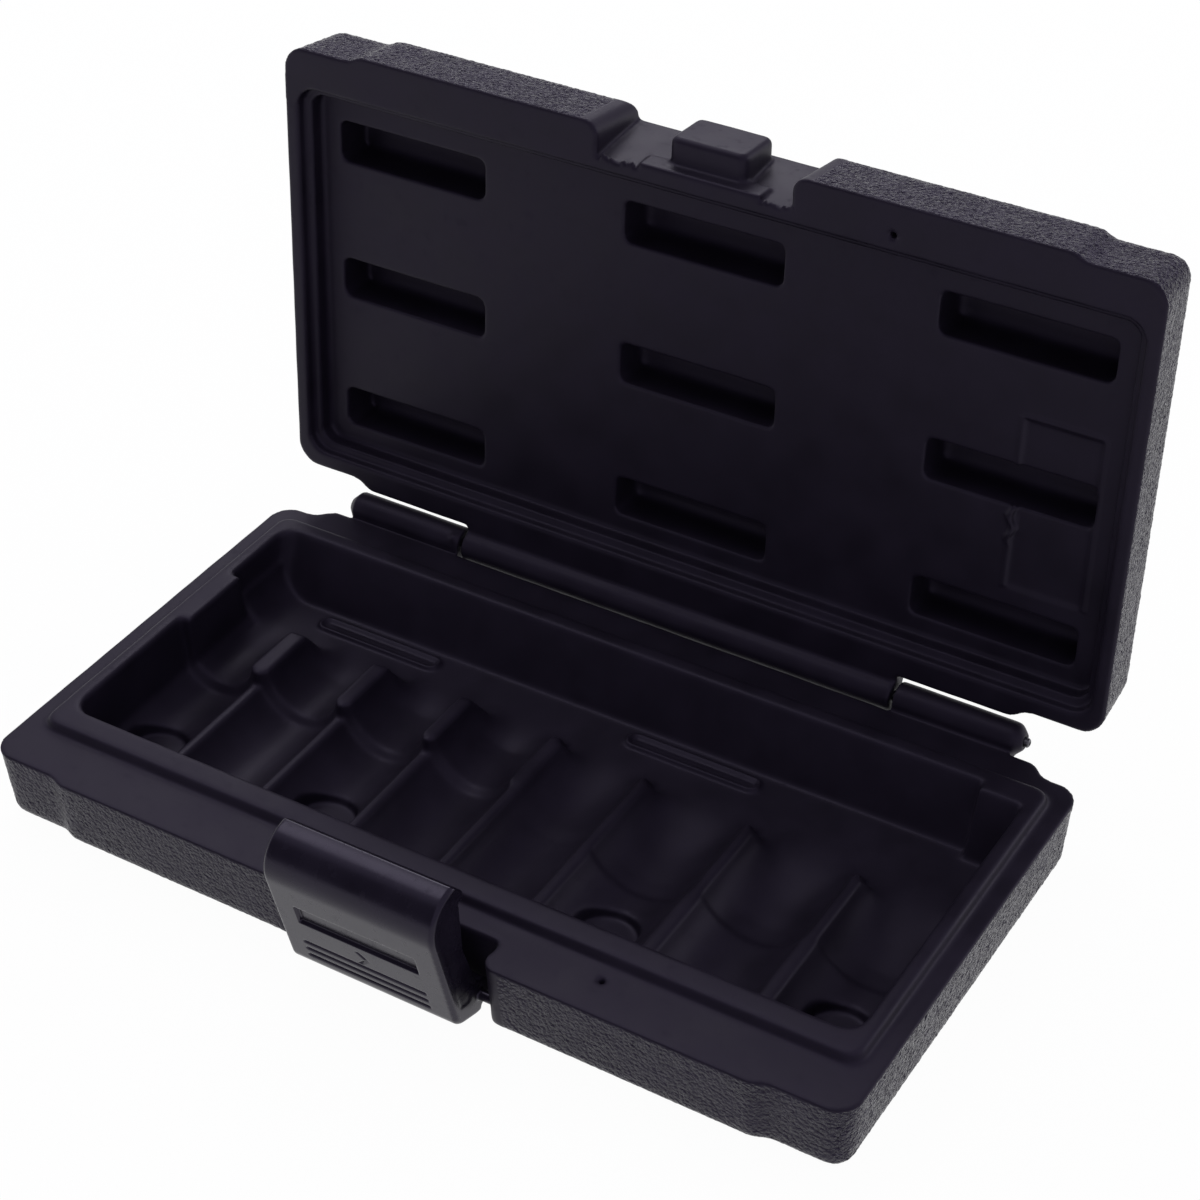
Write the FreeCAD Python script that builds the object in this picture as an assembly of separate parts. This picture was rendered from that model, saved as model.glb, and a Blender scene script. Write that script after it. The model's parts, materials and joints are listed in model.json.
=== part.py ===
import FreeCAD, Part
import math
import os

# A blow-moulded case for a set of eight long sockets, shown open: a base shell with a moulded tray,
# a lid shell, a steel hinge pin and a snap latch that pivots at its foot.
# Millimetres. The origin is the centre of the base's underside, +X is the width, -Y is the front.

# Outer form of both halves
case_width = 290.0
case_depth = 146.0
base_height = 25.0
lid_height = 25.0
parting_gap = 0.4
wall_lean = 2.0
corner_radius = 8.0
edge_round = 4.5
front_panel_margin = 30.0
front_panel_proud = 2.0
front_panel_ramp = 7.0
back_extra = 1.8
base_back_margin = 20.0
base_back_proud = 4.8
base_back_ramp = 10.0
lid_back_margin = 31.0
lid_back_proud = 3.3
lid_back_ramp = 9.0

# Lip of the base, which enters the lid
lip_height = 3.0
lip_lean = 0.3
lip_corner_radius = 5.0
side_flange = 6.5
front_flange = 16.7
back_flange = 5.5
side_lip = 5.2
front_lip = 9.2
back_lip = 5.9

# Tray inside the base; lengths along Y are from the tray's front edge
tray_corner_radius = 4.0
tray_wall_lean = 2.0
tray_back_lean = 9.0
tray_bottom_skin = 1.0
shelf_height = 7.0
divider_height = 13.5
block_height = 18.5
block_rear_lean = 8.0
slim_slots = 4
small_slots = 5
slot_count = 8
divider_four_x = -7.0
small_pitch = 32.2
large_pitch = 37.3
drive_end_radius = 15.5
trough_floor = 3.2
slim_radius = 12.5
slim_growth = 0.45
slim_start = 50.5
slim_step = 2.5
stout_drive_radius = 18.4
stout_radius = 18.9
stout_floor = 2.4
stout_start = 38.1
trough_length = 81.7
trough_setback = 2.6
trough_end_slope = 4.5
dimple_radius = 10.0
dimple_start = 19.1
side_pad_depth = 3.6
side_pad_start = 52.1
side_pad_length = 27.0
corner_pad_depth = 4.0
corner_pad_width = 14.0

# Thin oval ribs on the shelf behind the troughs
rib_length = 46.0
rib_width = 4.2
rib_height = 1.1
rib_setback = 15.6
left_rib_x = -87.0
right_rib_x = 30.0

# Latch recess in the front of both halves
recess_half_width = 32.0
recess_depth = 11.0
recess_mouth_radius = 5.0
lid_recess_rise = 3.5

# Lid inside
rebate_clearance = 1.5
rebate_front_clearance = 3.9
rebate_depth = 3.5
rebate_ledge = 2.6
panel_depth = 8.7
pocket_length = 53.5
pocket_width = 13.4
pocket_corner_radius = 2.6
pocket_side_margin = 33.9
pocket_front_margin = 16.0
pocket_back_margin = 13.2
lid_skin = 3.2
insert_width = 25.0
insert_side_margin = 6.9
insert_front_margin = 40.6
insert_length = 57.0
insert_depth = 0.5

# Holes left by the blowing needle in both flanges
needle_radius = 1.0
needle_depth = 4.0
needle_x = 64.0
base_needle_inset = 10.6
lid_needle_inset = 7.9

# Catch tab of the lid and the low foot in front of it
tab_center_x = 2.0
tab_width = 25.5
tab_inset = 0.7
tab_start = 4.8
tab_length = 17.6
tab_round = 2.5
tab_chamfer = 1.2
tab_foot_width = 40.0
tab_foot_rise = 2.0

# Hinge
hinge_setback = 12.5
hinge_rise = 1.0
knuckle_radius = 5.2
knuckle_end_chamfer = 2.8
left_knuckle_margin = 22.0
left_knuckle_length = 45.0
right_knuckle_margin = 23.0
right_knuckle_length = 43.0
knuckle_gap = 1.0
web_foot_depth = 13.0
lid_web_rise = 9.0
hinge_pin_radius = 1.5
hinge_pin_clearance = 0.05
hinge_pin_nub = 1.2
hinge_blind_end = 5.0
hinge_end_gap = 0.4
open_angle = 94.4

# Latch
latch_width = 56.6
latch_wall = 3.3
pivot_inset = 5.5
pivot_height = 7.6
latch_front_reach = 11.8
latch_face_lean = 5.5
latch_rise = 5.2
latch_curl_radius = 11.5
latch_foot_radius = 7.2
latch_foot_rise = 2.0
latch_sole_angle = 26.0
latch_hub_radius = 5.0
latch_toe_round = 6.0
latch_end_chamfer = 1.0
hook_clearance = 0.5
hook_inset = 6.5
hook_ramp_height = 4.5
trunnion_radius = 1.6
trunnion_clearance = 0.06
trunnion_reach = 4.5
trunnion_end_gap = 0.4
latch_ajar_angle = 8.0

# Overlap of cutting tools past the faces they cut
cut_margin = 2.0

half_width = case_width / 2
half_depth = case_depth / 2
parting_top = base_height + parting_gap
lid_top = parting_top + lid_height
front_y = -half_depth - front_panel_proud
recess_y = front_y + recess_depth
hinge_y = half_depth + hinge_setback
hinge_z = base_height + parting_gap / 2 + hinge_rise
left_end_x = left_knuckle_margin - half_width
left_split_x = left_end_x + left_knuckle_length
right_end_x = half_width - right_knuckle_margin
right_split_x = right_end_x - right_knuckle_length
trough_axis_z = trough_floor + drive_end_radius
tray_half_width = half_width - side_flange - side_lip
tray_front_y = -half_depth + front_flange + front_lip
tray_back_y = half_depth - back_flange - back_lip
slim_start_y = tray_front_y + slim_start
stout_start_y = tray_front_y + stout_start
rib_y = tray_back_y - rib_setback
panel_half_width = half_width - side_flange + rebate_clearance - rebate_ledge
rebate_front_y = -half_depth + front_flange - rebate_front_clearance
rebate_back_y = half_depth - back_flange + rebate_clearance
panel_front_y = rebate_front_y + rebate_ledge
panel_back_y = rebate_back_y - rebate_ledge
tab_front_y = front_y + tab_inset
latch_top_z = lid_top + latch_rise
hook_rear_y = front_y + hook_inset
FRONT_PANEL = (half_width - front_panel_margin, front_panel_proud, front_panel_ramp)
BASE_BACK = (half_width - base_back_margin, base_back_proud, base_back_ramp)
LID_BACK = (half_width - lid_back_margin, lid_back_proud, lid_back_ramp)
X_AXIS = FreeCAD.Vector(1, 0, 0)
Y_AXIS = FreeCAD.Vector(0, 1, 0)
Z_AXIS = FreeCAD.Vector(0, 0, 1)
HINGE = FreeCAD.Vector(0, hinge_y, hinge_z)
PIVOT = FreeCAD.Vector(0, front_y + pivot_inset, pivot_height)


def point(x, y, z=0.0):
    return FreeCAD.Vector(x, y, z)


def line(start, end):
    return Part.LineSegment(start, end).toShape()


def arc(start, middle, end):
    return Part.Arc(start, middle, end).toShape()


def box(x0, x1, y0, y1, z0, z1):
    return Part.makeBox(x1 - x0, y1 - y0, z1 - z0, point(x0, y0, z0))


def x_cylinder(radius, x0, x1, center):
    return Part.makeCylinder(radius, x1 - x0, point(x0, center.y, center.z), X_AXIS)


def yz_prism(corners, x0, x1):
    """A prism along X whose section is given by its (y, z) corners."""
    outline = [point(x0, y, z) for y, z in corners]
    return Part.Face(Part.makePolygon(outline + outline[:1])).extrude(point(x1 - x0, 0, 0))


def unit(vector):
    return vector * (1 / vector.Length)


def meet(start, heading, other_start, other_heading):
    """Where two lines in the YZ plane cross, each given by a point and a heading."""
    gap = other_start - start
    across = heading.y * other_heading.z - heading.z * other_heading.y
    return start + heading * ((gap.y * other_heading.z - gap.z * other_heading.y) / across)


def corner_arc(center, radius, start_degrees):
    """A quarter circle, turning left, from the given heading."""
    angles = [math.radians(start_degrees + turn) for turn in (0, 45, 90)]
    return arc(*[center + radius * point(math.cos(a), math.sin(a)) for a in angles])


def ramp_arcs(start, end):
    """Two equal arcs, tangent to X at both ends, that step an outline from one line to another."""
    length = abs(end.x - start.x)
    rise = abs(end.y - start.y)
    radius = (length ** 2 + rise ** 2) / (4 * rise)
    quarter = math.asin(length / (2 * radius)) / 2
    along = math.copysign(radius * math.sin(quarter), end.x - start.x)
    across = math.copysign(radius * (1 - math.cos(quarter)), end.y - start.y)
    middle = (start + end) * 0.5
    return [arc(start, start + point(along, across), middle), arc(middle, end - point(along, across), end)]


def stepped_side(x_start, x_end, y, panel):
    """One long side of the outline with a proud middle panel, drawn from x_start to x_end."""
    half_length, proud, ramp = panel
    way = math.copysign(1, x_end - x_start)
    outer_y = y + math.copysign(proud, y)
    foot_in = point(-way * (half_length + ramp), y)
    top_in = point(-way * half_length, outer_y)
    top_out = point(way * half_length, outer_y)
    foot_out = point(way * (half_length + ramp), y)
    edges = [line(point(x_start, y), foot_in)]
    edges += ramp_arcs(foot_in, top_in)
    edges.append(line(top_in, top_out))
    edges += ramp_arcs(top_out, foot_out)
    edges.append(line(foot_out, point(x_end, y)))
    return edges


def case_outline(inset, back_panel, z):
    """The plan of one half, drawn in from its full size by the inset."""
    side = half_width - inset
    front = inset - half_depth
    back = half_depth + back_extra - inset
    radius = corner_radius - inset
    inner_x = side - radius
    low_y = front + radius
    high_y = back - radius
    edges = stepped_side(-inner_x, inner_x, front, FRONT_PANEL)
    edges.append(corner_arc(point(inner_x, low_y), radius, 270))
    edges.append(line(point(side, low_y), point(side, high_y)))
    edges.append(corner_arc(point(inner_x, high_y), radius, 0))
    edges += stepped_side(inner_x, -inner_x, back, back_panel)
    edges.append(corner_arc(point(-inner_x, high_y), radius, 90))
    edges.append(line(point(-side, high_y), point(-side, low_y)))
    edges.append(corner_arc(point(-inner_x, low_y), radius, 180))
    return at_height(edges, z)


def rounded_rectangle(x0, x1, y0, y1, radius, z):
    edges = [
        line(point(x0 + radius, y0), point(x1 - radius, y0)),
        corner_arc(point(x1 - radius, y0 + radius), radius, 270),
        line(point(x1, y0 + radius), point(x1, y1 - radius)),
        corner_arc(point(x1 - radius, y1 - radius), radius, 0),
        line(point(x1 - radius, y1), point(x0 + radius, y1)),
        corner_arc(point(x0 + radius, y1 - radius), radius, 90),
        line(point(x0, y1 - radius), point(x0, y0 + radius)),
        corner_arc(point(x0 + radius, y0 + radius), radius, 180),
    ]
    return at_height(edges, z)


def at_height(edges, z):
    wire = Part.Wire(edges)
    wire.translate(point(0, 0, z))
    return wire


def between(lower, upper):
    return Part.makeLoft([lower, upper], True, True)


def outer_edges(shape, z):
    """The edges that lie all round a flat face at height z."""
    flat = [e for e in shape.Edges if all(abs(v.Point.z - z) < 1e-6 for v in e.Vertexes)]
    return flat


def half_shell(flange_z, face_z, back_panel):
    """A drafted half whose outer face has a rounded edge all round."""
    flange = case_outline(0.0, back_panel, flange_z)
    face = case_outline(wall_lean, back_panel, face_z)
    body = between(face, flange) if face_z < flange_z else between(flange, face)
    plan_radius = corner_radius - wall_lean
    return body.makeFillet(min(edge_round, 0.9 * plan_radius), outer_edges(body, face_z))


def latch_recess(flange_z, face_z, back_rise):
    """A recess open at both faces of a half, whose sides flare round into the leaning front wall."""
    height = face_z - flange_z
    past = cut_margin / abs(height)
    far_y = front_y - cut_margin
    low_z = flange_z - past * height
    high_z = face_z + past * height
    axis_inset = recess_mouth_radius * math.hypot(1, wall_lean / height)
    axis_low = point(0, front_y - wall_lean * past + axis_inset, low_z)
    axis_high = point(0, front_y + wall_lean * (1 + past) + axis_inset, high_z)
    along = unit(axis_high - axis_low)
    reach = (axis_high - axis_low).Length + 2 * cut_margin
    recess = yz_prism(
        [(far_y, low_z), (recess_y + back_rise * past, low_z),
         (recess_y - back_rise * (1 + past), high_z), (far_y, high_z)],
        -recess_half_width, recess_half_width)
    for side in (-1, 1):
        axis_x = side * (recess_half_width + recess_mouth_radius)
        ends = sorted((side * (recess_half_width - cut_margin), axis_x))
        mouth = yz_prism(
            [(far_y, low_z), (axis_low.y, low_z), (axis_high.y, high_z), (far_y, high_z)], ends[0], ends[1])
        start = point(axis_x, axis_low.y, axis_low.z) - along * cut_margin
        recess = recess.fuse(mouth.cut(Part.makeCylinder(recess_mouth_radius, reach, start, along)))
    return recess


def divider_x(index):
    """X of a divider, counted from 1 at the left."""
    small = min(index, small_slots)
    return divider_four_x + (small - slim_slots) * small_pitch + (index - small) * large_pitch


def slot_x(index):
    """X of a socket's axis, counted from 1 at the left."""
    pitch = small_pitch if index <= small_slots else large_pitch
    return divider_x(index) - pitch / 2


def slot_rear_y(index):
    """Rear end of a trough: the slots on the right are shorter."""
    return tray_front_y + trough_length - max(0, index - slim_slots) * trough_setback


def trough(radius, x, floor_z, y0, y1):
    return Part.makeCylinder(radius, y1 - y0, point(x, y0, floor_z + radius), Y_AXIS)


def closed_trough(radius, x, floor_z, y0, rear_y):
    """A trough whose rear end slopes up to the shelf."""
    low_z = floor_z - cut_margin
    high_z = floor_z + 2 * radius
    slope_y = rear_y - trough_end_slope * (shelf_height - low_z)
    room = yz_prism(
        [(y0, low_z), (slope_y, low_z), (rear_y, shelf_height), (rear_y, high_z), (y0, high_z)],
        x - radius, x + radius)
    return trough(radius, x, floor_z, y0, rear_y).common(room)


def slot_tools(index):
    """The cutters of one socket's trough: its drive end and its other end."""
    x = slot_x(index)
    start_y = tray_front_y - cut_margin
    rear_y = slot_rear_y(index)
    if index <= slim_slots:
        radius = slim_radius + (index - 1) * slim_growth
        return [
            trough(drive_end_radius, x, trough_floor, start_y, slim_start_y),
            Part.makeCone(drive_end_radius, radius, slim_step, point(x, slim_start_y, trough_axis_z), Y_AXIS),
            closed_trough(radius, x, trough_axis_z - radius, slim_start_y, rear_y),
        ]
    if index <= small_slots:
        return [closed_trough(drive_end_radius, x, trough_floor, start_y, rear_y)]
    return [
        trough(stout_drive_radius, x, trough_floor, start_y, stout_start_y),
        closed_trough(stout_radius, x, stout_floor, stout_start_y, rear_y),
    ]


def shelf_tool(index):
    """The room over the shelf behind one slot, whose front side leans back from the blocks' tops."""
    left_x = slot_x(1) if index == 1 else divider_x(index - 1)
    right_x = half_width if index == slot_count else divider_x(index)
    rear_y = slot_rear_y(index)
    return yz_prism(
        [(rear_y, shelf_height), (half_depth, shelf_height), (half_depth, block_height),
         (rear_y - block_rear_lean, block_height)],
        left_x, right_x)


def tray_prism():
    """The mouth of the tray drawn down to the bottom skin, with its leaning walls and pads."""
    top_z = base_height + lip_height
    depth = top_z - tray_bottom_skin
    back_lean = tray_back_lean * depth / (top_z - shelf_height)
    upper_lean = cut_margin / depth
    lower = rounded_rectangle(
        -tray_half_width + tray_wall_lean, tray_half_width - tray_wall_lean,
        tray_front_y + tray_wall_lean, tray_back_y - back_lean,
        tray_corner_radius, tray_bottom_skin)
    upper = rounded_rectangle(
        -tray_half_width - tray_wall_lean * upper_lean, tray_half_width + tray_wall_lean * upper_lean,
        tray_front_y - tray_wall_lean * upper_lean, tray_back_y + back_lean * upper_lean,
        tray_corner_radius + tray_wall_lean * (1 + upper_lean), top_z + cut_margin)
    prism = between(lower, upper)
    side_pad_y = tray_front_y + side_pad_start
    side_pad = box(-half_width, -tray_half_width + side_pad_depth, side_pad_y,
                   side_pad_y + side_pad_length, 0, top_z + 2 * cut_margin)
    pad_back = half_depth - back_flange
    corner_pad = yz_prism(
        [(tray_back_y - back_lean - corner_pad_depth, 0), (pad_back, 0), (pad_back, top_z + cut_margin),
         (tray_back_y - corner_pad_depth + back_lean * upper_lean, top_z + cut_margin)],
        tray_half_width - corner_pad_width, tray_half_width + side_lip)
    return prism.cut(side_pad.fuse(corner_pad))


def tray_tool():
    """Everything that is taken out of the base to leave the tray."""
    top_z = base_height + lip_height + cut_margin
    cove_radius = trough_axis_z - shelf_height
    tools = [
        box(-half_width, half_width, -half_depth, half_depth, block_height, top_z),
        box(-half_width, half_width, -half_depth, slim_start_y, divider_height, block_height),
        box(slot_x(slim_slots), half_width, slim_start_y, half_depth, divider_height, block_height),
        trough(cove_radius, slot_x(1), shelf_height, slot_rear_y(1), half_depth),
    ]
    for index in range(1, slot_count + 1):
        tools += slot_tools(index)
        tools.append(shelf_tool(index))
    for index in (1, 3, 6, 8):
        center = point(slot_x(index), tray_front_y + dimple_start, tray_bottom_skin)
        tools.append(Part.makeCylinder(dimple_radius, trough_axis_z, center))
    hollow = tools[0].multiFuse(tools[1:])
    return tray_prism().common(hollow)


def oval_rib(x):
    """A low rib with round ends that stands on the shelf."""
    radius = rib_width / 2
    left_x = x - rib_length / 2
    right_x = x + rib_length / 2
    front_left = point(left_x + radius, rib_y - radius)
    front_right = point(right_x - radius, rib_y - radius)
    back_right = point(right_x - radius, rib_y + radius)
    back_left = point(left_x + radius, rib_y + radius)
    edges = [
        line(front_left, front_right),
        arc(front_right, point(right_x, rib_y), back_right),
        line(back_right, back_left),
        arc(back_left, point(left_x, rib_y), front_left),
    ]
    face = Part.Face(at_height(edges, shelf_height - rib_height))
    return face.extrude(point(0, 0, 2 * rib_height))


def base_lip():
    """The raised rim round the tray, which the lid comes down over."""
    side = half_width - side_flange
    front = -half_depth + front_flange
    back = half_depth - back_flange
    foot = rounded_rectangle(-side, side, front, back, lip_corner_radius, base_height)
    crest = rounded_rectangle(
        -side + lip_lean, side - lip_lean, front + lip_lean, back - lip_lean,
        lip_corner_radius - lip_lean, base_height + lip_height)
    return between(foot, crest)


def edges_at_x(shape, x):
    return [e for e in shape.Edges if all(abs(v.X - x) < 1e-6 for v in e.Vertexes)]


def knuckle(x0, x1, foot_z, web_z, outer_x=None):
    """One hinge barrel, chamfered at its outer end if it has one, and the web that carries it."""
    wall_y = half_depth - wall_lean
    under_z = hinge_z + math.copysign(knuckle_radius, foot_z - web_z)
    barrel = x_cylinder(knuckle_radius, x0, x1, HINGE)
    if outer_x is not None:
        barrel = barrel.makeChamfer(knuckle_end_chamfer, edges_at_x(barrel, outer_x))
    web_ends = [x - math.copysign(knuckle_end_chamfer, x) if x == outer_x else x for x in (x0, x1)]
    web = yz_prism(
        [(wall_y, web_z), (hinge_y, web_z), (hinge_y, under_z), (half_depth, foot_z), (wall_y, foot_z)],
        web_ends[0], web_ends[1])
    return barrel.fuse(web)


def hinge_bore():
    start_x = left_end_x + hinge_blind_end - hinge_end_gap
    return x_cylinder(hinge_pin_radius + hinge_pin_clearance, start_x, right_end_x + cut_margin, HINGE)


def trunnion_bores():
    depth = recess_half_width + trunnion_reach + trunnion_end_gap
    return x_cylinder(trunnion_radius + trunnion_clearance, -depth, depth, PIVOT)


def needle_hole(inset, low_z):
    return Part.makeCylinder(needle_radius, needle_depth, point(needle_x, inset - half_depth, low_z))


def make_base():
    shell = half_shell(base_height, 0.0, BASE_BACK).fuse(base_lip())
    foot_z = base_height - web_foot_depth
    left_inner_x = left_split_x - knuckle_gap / 2
    right_inner_x = right_split_x + knuckle_gap / 2
    shell = shell.fuse(knuckle(left_end_x, left_inner_x, foot_z, base_height, left_end_x))
    shell = shell.fuse(knuckle(right_inner_x, right_end_x, foot_z, base_height, right_end_x))
    cutters = [latch_recess(base_height, 0.0, 0.0), trunnion_bores(), hinge_bore()]
    cutters.append(needle_hole(base_needle_inset, base_height - needle_depth))
    shell = shell.cut(tray_tool()).cut(cutters[0].multiFuse(cutters[1:]))
    return shell.fuse([oval_rib(left_rib_x), oval_rib(right_rib_x)]).removeSplitter()


def pocket(x, y):
    """One blind pocket of the lid's inner panel, which ties the inner skin to the outer one."""
    reach_x = pocket_length / 2
    reach_y = pocket_width / 2
    mouth_z = parting_top + panel_depth - cut_margin
    plan = rounded_rectangle(
        x - reach_x, x + reach_x, y - reach_y, y + reach_y, pocket_corner_radius, mouth_z)
    return Part.Face(plan).extrude(point(0, 0, lid_top - lid_skin - mouth_z))


def lid_hollow():
    """The stepped hollow of the lid: the rebate for the lip, the panel, its pockets and its insert mark."""
    side = half_width - side_flange + rebate_clearance
    mouth = parting_top - cut_margin
    rebate = rounded_rectangle(
        -side, side, rebate_front_y, rebate_back_y, lip_corner_radius + rebate_clearance, mouth)
    panel = rounded_rectangle(
        -panel_half_width, panel_half_width, panel_front_y, panel_back_y, lip_corner_radius, mouth)
    insert_x = panel_half_width - insert_side_margin
    insert_y = panel_front_y + insert_front_margin
    tools = [
        Part.Face(rebate).extrude(point(0, 0, rebate_depth + cut_margin)),
        Part.Face(panel).extrude(point(0, 0, panel_depth + cut_margin)),
        box(insert_x - insert_width, insert_x, insert_y, insert_y + insert_length,
            parting_top, parting_top + panel_depth + insert_depth),
    ]
    outer_x = panel_half_width - pocket_side_margin
    first_y = panel_front_y + pocket_front_margin
    last_y = panel_back_y - pocket_back_margin
    for x in (-outer_x, 0.0, outer_x):
        for y in (first_y, (first_y + last_y) / 2, last_y):
            tools.append(pocket(x, y))
    return tools[0].multiFuse(tools[1:])


def catch_tab():
    """The block in the lid's recess that the latch hooks over, and the low foot in front of it."""
    reach = tab_width / 2
    foot_reach = tab_foot_width / 2
    low_z = parting_top + tab_start
    root_y = recess_y + cut_margin
    block = box(tab_center_x - reach, tab_center_x + reach, tab_front_y, root_y, low_z, low_z + tab_length)
    block = block.makeFillet(tab_round, [e for e in block.Edges if e.BoundBox.YLength > cut_margin])
    block = block.makeChamfer(tab_chamfer, [e for e in block.Edges if e.BoundBox.YMax < recess_y])
    foot = box(tab_center_x - foot_reach, tab_center_x + foot_reach, recess_y - tab_foot_rise, root_y,
               parting_top, low_z + tab_round)
    return block.fuse(foot)


def make_lid():
    """The lid, built shut and then swung open about the hinge."""
    shell = half_shell(parting_top, lid_top, LID_BACK)
    ends = (left_split_x + knuckle_gap / 2, right_split_x - knuckle_gap / 2)
    shell = shell.fuse(knuckle(ends[0], ends[1], parting_top + lid_web_rise, parting_top))
    shell = shell.cut(latch_recess(parting_top, lid_top, lid_recess_rise))
    cutters = [lid_hollow(), hinge_bore(), needle_hole(lid_needle_inset, parting_top)]
    shell = shell.fuse(catch_tab()).cut(cutters[0].multiFuse(cutters[1:])).removeSplitter()
    shell.rotate(HINGE, X_AXIS, -open_angle)
    return shell


def latch_outline():
    """Corners of the latch's section when shut, with the middle of each arc before its end."""
    lean = math.radians(latch_face_lean)
    tilt = math.radians(latch_sole_angle)
    up = point(0, -math.sin(lean), math.cos(lean))
    inward = point(0, math.cos(lean), math.sin(lean))
    sole_way = point(0, -math.cos(tilt), math.sin(tilt))
    sole = PIVOT - point(0, math.sin(tilt), math.cos(tilt)) * latch_foot_radius
    face_foot = PIVOT - Y_AXIS * latch_front_reach
    toe = meet(sole, sole_way, face_foot, up)
    tangent = latch_toe_round * math.tan((math.pi / 2 - lean - tilt) / 2)
    toe_end = toe + up * tangent
    toe_center = toe_end + inward * latch_toe_round
    curl_z = latch_top_z - latch_curl_radius
    bend = face_foot + up * ((curl_z - face_foot.z - latch_curl_radius * inward.z) / up.z)
    curl_center = bend + inward * latch_curl_radius
    inner_radius = latch_curl_radius - latch_wall
    curl_way = unit(Z_AXIS - inward)
    return {
        "heel": PIVOT - Z_AXIS * latch_foot_radius,
        "ball": PIVOT - point(0, math.sin(tilt / 2), math.cos(tilt / 2)) * latch_foot_radius,
        "sole": sole,
        "toe_start": toe - sole_way * tangent,
        "toe_middle": toe_center + unit(toe - toe_center) * latch_toe_round,
        "toe_end": toe_end,
        "bend": bend,
        "curl_middle": curl_center + curl_way * latch_curl_radius,
        "crown": curl_center + Z_AXIS * latch_curl_radius,
        "inner_crown": curl_center + Z_AXIS * inner_radius,
        "inner_middle": curl_center + curl_way * inner_radius,
        "inner_bend": bend + inward * latch_wall,
        "inner_foot": toe_end + up * latch_foot_rise + inward * latch_wall,
    }


def latch_section():
    """Section of the latch when shut: foot, leaning front, curled top and the hook that hangs from it."""
    at = latch_outline()
    tip_z = parting_top + tab_start + tab_length + hook_clearance
    hook_y = hook_rear_y - latch_wall
    shoulder = point(0, hook_y, latch_top_z)
    ramp_end = point(0, hook_rear_y, latch_top_z - hook_ramp_height)
    tip_rear = point(0, hook_rear_y, tip_z)
    tip_front = point(0, hook_y, tip_z)
    edges = [
        arc(at["heel"], at["ball"], at["sole"]),
        line(at["sole"], at["toe_start"]),
        arc(at["toe_start"], at["toe_middle"], at["toe_end"]),
        line(at["toe_end"], at["bend"]),
        arc(at["bend"], at["curl_middle"], at["crown"]),
        line(at["crown"], shoulder),
        line(shoulder, ramp_end),
        line(ramp_end, tip_rear),
        line(tip_rear, tip_front),
        line(tip_front, at["inner_crown"]),
        arc(at["inner_crown"], at["inner_middle"], at["inner_bend"]),
        line(at["inner_bend"], at["inner_foot"]),
        line(at["inner_foot"], PIVOT),
        line(PIVOT, at["heel"]),
    ]
    return Part.Face(Part.Wire(edges))


def meets(edge, corner):
    """Whether an edge has an end at a corner of the section, at any X."""
    return any(math.hypot(v.Y - corner.y, v.Z - corner.z) < 1e-6 for v in edge.Vertexes)


def make_latch():
    """The latch with its hub and trunnions, built shut and then left ajar."""
    half = latch_width / 2
    section = latch_section()
    section.translate(point(-half, 0, 0))
    strap = section.extrude(point(latch_width, 0, 0))
    face_foot = latch_outline()["toe_end"]
    for x in (-half, half):
        outer = [e for e in edges_at_x(strap, x) if meets(e, face_foot)]
        strap = strap.makeChamfer(latch_end_chamfer, outer)
    body = strap.fuse(x_cylinder(latch_hub_radius, -half, half, PIVOT)).removeSplitter()
    reach = recess_half_width + trunnion_reach
    body = body.fuse(x_cylinder(trunnion_radius, -reach, reach, PIVOT)).removeSplitter()
    body.rotate(PIVOT, X_AXIS, latch_ajar_angle)
    return body


def make_hinge_pin():
    """The steel pin, blind at the left, whose end stands out at the right."""
    return x_cylinder(hinge_pin_radius, left_end_x + hinge_blind_end, right_end_x + hinge_pin_nub, HINGE)


def main():
    os.makedirs("parts", exist_ok=True)
    pieces = {
        "base_shell": make_base(),
        "lid_shell": make_lid(),
        "latch": make_latch(),
        "hinge_pin": make_hinge_pin(),
    }
    for name, shape in pieces.items():
        shape.exportStep(os.path.join("parts", name + ".step"))
        print(name, "valid", shape.isValid(), "solids", len(shape.Solids), "volume", round(shape.Volume, 1))


main()
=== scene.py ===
import itertools
import json
import logging
import math
from dataclasses import dataclass, field
from enum import Enum

import bmesh
import bpy
import numpy as np
from mathutils import Matrix, Vector


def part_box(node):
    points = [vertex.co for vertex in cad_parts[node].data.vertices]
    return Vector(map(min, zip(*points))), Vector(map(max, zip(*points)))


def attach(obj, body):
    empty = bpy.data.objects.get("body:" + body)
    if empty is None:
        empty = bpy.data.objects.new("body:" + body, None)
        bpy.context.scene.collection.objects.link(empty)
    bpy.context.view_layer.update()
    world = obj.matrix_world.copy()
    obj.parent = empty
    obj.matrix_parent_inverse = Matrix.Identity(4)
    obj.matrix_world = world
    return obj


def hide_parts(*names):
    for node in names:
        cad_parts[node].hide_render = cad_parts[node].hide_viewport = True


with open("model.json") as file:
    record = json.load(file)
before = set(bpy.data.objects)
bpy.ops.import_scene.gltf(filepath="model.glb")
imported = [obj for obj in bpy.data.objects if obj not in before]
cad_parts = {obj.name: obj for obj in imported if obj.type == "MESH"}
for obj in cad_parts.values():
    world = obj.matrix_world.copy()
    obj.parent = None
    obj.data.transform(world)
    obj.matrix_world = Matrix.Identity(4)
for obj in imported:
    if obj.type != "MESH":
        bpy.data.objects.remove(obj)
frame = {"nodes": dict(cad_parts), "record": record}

log = logging.getLogger("tool_case")
MM = 0.001
GRAIN_LAYER = "grain"
WHITE = (1.0, 1.0, 1.0)
WHOLE_RANGE = (0.0, 1.0)


class Limit(Enum):
    """An end of a joint's range."""

    LOWEST = 0
    HIGHEST = 1


class Outward(Enum):
    """The way that the large outer face of a half looks when the case is shut."""

    DOWN = -1
    UP = 1


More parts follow.
